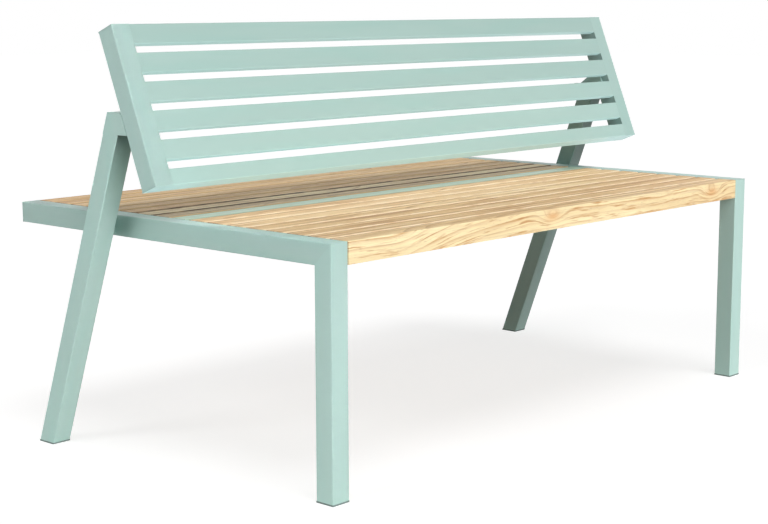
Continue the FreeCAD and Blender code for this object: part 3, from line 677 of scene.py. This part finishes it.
class BENCH_OT_grain_deck(bpy.types.Operator):
    """Wood grain on every slat, each board cut from its own place in the log"""

    bl_idname = "bench.grain_deck"
    bl_label = "Grain the deck"

    # painted shade and light: the two boards behind the crossbar lie in the backrest's shadow and
    # are painted cooler, rear_slat_7 paler and rear_slat_8 darker: a change of their red, green and
    # blue
    WEATHER = {"rear_slat_7": (1.12, 1.36, 1.7), "rear_slat_8": (0.83, 0.93, 1.12)}
    # boards behind the crossbar whose front edge is painted dark, as painted shade in the gap
    # before it
    OILED = ("rear_slat_6", "rear_slat_7")
    # steps from board to board of the waves that choose each board's place in the log
    SWING_STEP, LIFT_STEP, AIM_STEP, DIP_STEP, TONE_STEP = 2.4, 1.7, 3.1, 2.2, 5.3
    # how far the pith lies below a board's middle, and how far it varies up and down and to
    # the front and the rear, in metres
    PITH_DEPTH, PITH_LIFT, PITH_SWING = 0.028, 0.02, 0.03
    RELIEF = 0.00012
    SHINE = 0.35

    # painted shade and light on the two boards behind the crossbar
    def weathered(self, name, colour):
        change = self.WEATHER.get(name, (1.0, 1.0, 1.0))
        return (*[part * factor for part, factor in zip(colour, change)], 1.0)

    def edge_colour(self, wood, name):
        """A painted highlight on the front boards' edge, painted shade on two boards behind the
        crossbar, and on the rest like the board.
        """
        if name.startswith("front"):
            return wood.worn
        return wood.oiled if name in self.OILED else wood.early

    def board_grain(self, wood, number, name, low, high):
        """A board's own place in the log, and its edges."""
        middle = (low + high) / 2
        swing = math.sin(number * self.SWING_STEP)
        lift = math.cos(number * self.LIFT_STEP)
        depth = self.PITH_DEPTH + self.PITH_LIFT * lift
        aim = math.sin(number * self.AIM_STEP)
        dip = math.cos(number * self.DIP_STEP)
        return {
            "Pith": (0.0, middle.y + self.PITH_SWING * swing, middle.z - depth),
            "Lean": (0.0, 0.03 * aim, 0.05 * dip),
            "Seed": 3.7 * number + 0.4,
            "Ring width": wood.ring_width * (1 + 0.25 * swing),
            "Front": low.y,
            "Back": high.y,
            "Top": high.z,
            "Early": self.weathered(name, wood.early),
            "Late": self.weathered(name, wood.late),
            "Face early": tuple(wood.early),
            "Face late": tuple(wood.late),
            "Fibre": self.weathered(name, wood.fibre),
            "Knot": tuple(wood.knot),
            "Worn": tuple(wood.worn),
            "Arris": 0.003,
            "Edge": tuple(self.edge_colour(wood, name)),
            "Streaks": 0.7,
            "Tone": 1.0 + 0.06 * math.sin(number * self.TONE_STEP),
            "Roughness": wood.roughness,
        }

    def fascia_grain(self, wood, low):
        """The front board: a face painted paler than its top as painted light, arches of grain
        towards the left end, and two knots.
        """
        return {
            "Pith": (0.0, low.y + 0.002, low.z - 0.002),
            "Lean": NOWHERE,
            "Flare": 0.052,
            "Flare start": -0.48,
            "Flare length": 0.14,
            "Knot one": (-0.055, low.y, low.z + 0.026),
            "Knot two": (0.525, low.y, low.z + 0.022),
            "Knot size": 0.009,
            "Seed": 0.25,
            "Ring width": 0.014,
            "Wander": 0.6,
            "Arris": 0.0003,
            "Face early": tuple(wood.face_early),
            "Face late": tuple(wood.face_late),
            "Tone": 1.05,
            "Strokes": 0.8,
        }

    def execute(self, context):
        wood = context.scene.bench_wood
        group = effect_group("Board grain", GRAIN_INPUTS, build_grain)
        for number, slat in enumerate(nodes_named("front_slat", "rear_slat")):
            low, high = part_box(slat.name)
            values = self.board_grain(wood, number, slat.name, low, high)
            if slat.name == "front_slat_1":
                values.update(self.fascia_grain(wood, low))
            grain = surface(f"wood_{slat.name}", group, values, self.RELIEF, specular=self.SHINE)
            dress([slat], grain)
        return {"FINISHED"}


class BENCH_OT_finish_small_parts(bpy.types.Operator):
    """Plastic of the feet and bushes, and steel of the bolts, screws and locks"""

    bl_idname = "bench.finish_small_parts"
    bl_label = "Finish the small parts"

    # waves of the noise in a metre: even on moulded plastic, and in rings round a turned part
    # that lies along the bench
    MOULDED = (900.0, 900.0, 900.0)
    TURNED = (1600.0, 160.0, 160.0)

    def worked(self, name, stretch, colour, contrast, roughness, relief, **shine):
        values = {
            "Stretch": stretch,
            "Colour": tuple(colour),
            "Contrast": contrast,
            "Roughness": roughness,
        }
        group = effect_group("Worked surface", WORKED_INPUTS, build_worked)
        return surface(name, group, values, relief, **shine)

    def execute(self, context):
        tones = context.scene.bench_small_parts
        foot = self.worked(
            "foot_plastic", self.MOULDED, tones.foot, 0.12, 0.6, relief=0.00006, specular=0.4
        )
        dress(nodes_named("front_foot", "rear_foot"), foot)
        bush = self.worked("bush_plastic", self.MOULDED, tones.bush, 0.08, 0.45, relief=0.00003)
        dress(nodes_named("hinge_bushes"), bush)
        steel = self.worked(
            "turned_steel", self.TURNED, tones.steel, 0.1, 0.32, relief=0.00002, metallic=1.0
        )
        dress(nodes_named("pivot_bolt", "lock_body", "lock_pin", "wood_screws"), steel)
        return {"FINISHED"}


def seen_by(tree, *rays):
    """1 for rays of the given kinds and 0 for the rest."""
    path = add_node(tree, "ShaderNodeLightPath").outputs
    seen = path[rays[0]]
    for ray in rays[1:]:
        seen = math_node(tree, "MAXIMUM", seen, path[ray])
    return seen


def light_world(fill):
    """Plain white to the camera and to mirror and glass rays, and a weak light to the rest."""
    world = bpy.data.worlds.new("studio")
    bpy.context.scene.world = world
    world.use_nodes = True
    tree = world.node_tree
    tree.nodes.clear()
    seen = seen_by(tree, "Is Camera Ray", "Is Glossy Ray", "Is Transmission Ray")
    background = add_node(tree, "ShaderNodeBackground")
    feed(tree, background.inputs["Color"], mix(tree, seen, (fill, fill, fill, 1.0), WHITE))
    background.inputs["Strength"].default_value = 1.0
    end = add_node(tree, "ShaderNodeOutputWorld")
    feed(tree, end.inputs["Surface"], background.outputs["Background"])


# The floor's own light and share of returned light, to the camera and to the bench
GLOW_SEEN, SHARE_SEEN = 0.79, 0.41
GLOW_FELT, SHARE_FELT = 0.0, 0.8


def floor_material():
    """A white floor that takes a pale shadow and throws plain light back at the bench."""
    material = bpy.data.materials.new("studio_floor")
    material.use_nodes = True
    tree = material.node_tree
    tree.nodes.clear()
    shader = add_node(tree, "ShaderNodeBsdfPrincipled")
    shader.inputs["Roughness"].default_value = 0.9
    shader.inputs["Specular IOR Level"].default_value = 0.0
    seen = seen_by(tree, "Is Camera Ray", "Is Glossy Ray")
    felt = (SHARE_FELT, SHARE_FELT, SHARE_FELT, 1.0)
    shown = (SHARE_SEEN, SHARE_SEEN, SHARE_SEEN, 1.0)
    feed(tree, shader.inputs["Base Color"], mix(tree, seen, felt, shown))
    shader.inputs["Emission Color"].default_value = WHITE
    glow = spread(tree, seen, 0.0, 1.0, GLOW_FELT, GLOW_SEEN)
    feed(tree, shader.inputs["Emission Strength"], glow)
    end = add_node(tree, "ShaderNodeOutputMaterial")
    feed(tree, end.inputs["Surface"], shader.outputs["BSDF"])
    return material


def light_set(name, things, state="INCLUDE"):
    """A set for light linking that holds only these things, or leaves them out."""
    chosen = bpy.data.collections.new(name)
    for thing in things:
        chosen.objects.link(thing)
    for link in chosen.collection_objects:
        link.light_linking.link_state = state
    return chosen


def heading(turn, dip):
    """The direction straight to the rear, turned to the right and tilted below the horizon."""
    flat = math.cos(dip)
    return Vector((math.sin(turn) * flat, math.cos(turn) * flat, -math.sin(dip)))


def add_lamp(name, level, lit, azimuth, height, softness, blocking=None, tint=WHITE[:3]):
    """A distant lamp that lights a set of things. Its angles are in degrees: to the left of
    straight in front, above the horizon, and the lamp's own width in the sky."""
    bpy.ops.object.light_add(type="SUN")
    lamp = bpy.context.object
    lamp.name = name
    lamp.data.energy = level
    lamp.data.color = tint
    lamp.data.angle = math.radians(softness)
    toward = -heading(math.radians(azimuth), math.radians(height))
    lamp.rotation_euler = toward.to_track_quat("Z", "Y").to_euler()
    lamp.light_linking.receiver_collection = lit
    lamp.light_linking.blocker_collection = blocking
    return lamp


class BENCH_OT_stage(bpy.types.Operator):
    """White floor, soft light and the camera at the photograph's place"""

    bl_idname = "bench.stage"
    bl_label = "Set the stage"

    LEFT_END = (
        "front_leg_left",
        "rear_leg_left",
        "side_rail_left",
        "backrest_arm_left",
        "backrest_side_left",
    )
    SHADED = ("rear_leg_right", "backrest_arm_right", "backrest_side_right")
    # the card under the backrest is cool, against the warm light that the deck throws up
    UNDER_TINT = (0.88, 0.9, 1.0)

    def add_floor(self, size):
        bpy.ops.mesh.primitive_plane_add(size=size)
        floor = bpy.context.object
        floor.name = "studio_floor"
        dress([floor], floor_material())
        return floor

    def light_bench(self, studio, floor):
        """Soft lamps on all of the bench, and on the pieces that the photograph shows brighter."""
        bench = light_set("all_but_floor", [floor], "EXCLUDE")
        add_lamp("front_light", studio.front_level, bench, azimuth=16, height=32, softness=36)
        left_end = nodes_named(*self.LEFT_END)
        outside = light_set("left_end", left_end)
        add_lamp("side_light", studio.side_level, outside, azimuth=88, height=16, softness=40)
        dim = [floor, *left_end, *nodes_named(*self.SHADED)]
        rest = light_set("all_but_floor_ends_and_shaded_leg", dim, "EXCLUDE")
        add_lamp("inner_side_light", studio.inner_level, rest, azimuth=88, height=16, softness=40)
        add_lamp("high_light", studio.high_level, bench, azimuth=12, height=59, softness=7)
        back_light = add_lamp(
            "back_light",
            studio.back_level,
            bench,
            azimuth=222,
            height=8,
            softness=40,
            blocking=bench,
        )
        back_light.visible_glossy = False
        fronts = light_set("fronts", nodes_named("front_leg", "front_slat_1", "backrest_bar_6"))
        add_lamp(
            "low_card",
            studio.low_level,
            fronts,
            azimuth=12,
            height=-20,
            softness=50,
            blocking=bench,
        )
        near_leg = light_set("near_leg", nodes_named("rear_leg_left"))
        add_lamp(
            "leg_card",
            studio.low_level,
            near_leg,
            azimuth=-35,
            height=-20,
            softness=50,
            blocking=bench,
        )
        backrest = light_set("backrest", nodes_named("backrest_bar", "backrest_side"))
        # with an empty set everything would block this card, the floor too, so it holds the feet
        feet = light_set("feet", nodes_named("front_foot"))
        add_lamp(
            "under_card",
            studio.under_level,
            backrest,
            azimuth=10,
            height=-62,
            softness=30,
            blocking=feet,
            tint=self.UNDER_TINT,
        )

    def light_floor(self, studio, floor):
        ground = light_set("floor_alone", [floor])
        add_lamp("floor_light", studio.floor_level, ground, azimuth=20, height=69, softness=32)
        side_level = studio.floor_side_level
        add_lamp("floor_side_light", side_level, ground, azimuth=95, height=38, softness=20)

    def add_camera(self, settings):
        bpy.ops.object.camera_add()
        camera = bpy.context.object
        camera.name = "photo_camera"
        yaw, roll = settings.yaw, settings.roll
        ahead = heading(yaw, settings.pitch)
        side = Vector((math.cos(yaw), -math.sin(yaw), 0.0))
        up = side.cross(ahead)
        right = side * math.cos(roll) + up * math.sin(roll)
        top = up * math.cos(roll) - side * math.sin(roll)
        turn = Matrix((right, top, -ahead)).transposed()
        camera.matrix_world = Matrix.Translation(settings.place) @ turn.to_4x4()
        camera.data.sensor_width = SENSOR_WIDTH
        camera.data.lens = settings.focal_pixels * SENSOR_WIDTH / PHOTO_WIDTH
        bpy.context.scene.camera = camera

    def execute(self, context):
        studio = context.scene.bench_studio
        context.scene.view_settings.view_transform = "Standard"
        light_world(studio.fill_level)
        bpy.ops.object.select_all(action="DESELECT")
        floor = self.add_floor(studio.floor_size)
        self.light_bench(studio, floor)
        self.light_floor(studio, floor)
        self.add_camera(context.scene.bench_camera)
        return {"FINISHED"}


class BENCH_PT_panel(bpy.types.Panel):
    """Lists the operators of the bench in the sidebar"""

    bl_label = "Bench"
    bl_idname = "BENCH_PT_panel"
    bl_space_type = "VIEW_3D"
    bl_region_type = "UI"
    bl_category = "Bench"

    def draw(self, context):
        for operator in OPERATORS:
            self.layout.operator(operator.bl_idname)


SETTINGS = {
    "bench_paint": PaintSettings,
    "bench_wood": WoodSettings,
    "bench_small_parts": SmallPartSettings,
    "bench_studio": StudioSettings,
    "bench_camera": CameraSettings,
}
OPERATORS = (
    BENCH_OT_stage,
    BENCH_OT_coat_frame,
    BENCH_OT_coat_backrest,
    BENCH_OT_grain_deck,
    BENCH_OT_finish_small_parts,
)


def register():
    for settings in SETTINGS.values():
        bpy.utils.register_class(settings)
    for name, settings in SETTINGS.items():
        setattr(bpy.types.Scene, name, bpy.props.PointerProperty(type=settings))
    for operator in OPERATORS:
        bpy.utils.register_class(operator)
    bpy.utils.register_class(BENCH_PT_panel)


def unregister():
    bpy.utils.unregister_class(BENCH_PT_panel)
    for operator in reversed(OPERATORS):
        bpy.utils.unregister_class(operator)
    for name in SETTINGS:
        delattr(bpy.types.Scene, name)
    for settings in reversed(SETTINGS.values()):
        bpy.utils.unregister_class(settings)


def main():
    register()
    bpy.ops.bench.stage()
    bpy.ops.bench.coat_frame()
    bpy.ops.bench.coat_backrest()
    bpy.ops.bench.grain_deck()
    bpy.ops.bench.finish_small_parts()


if __name__ == "__main__":
    main()
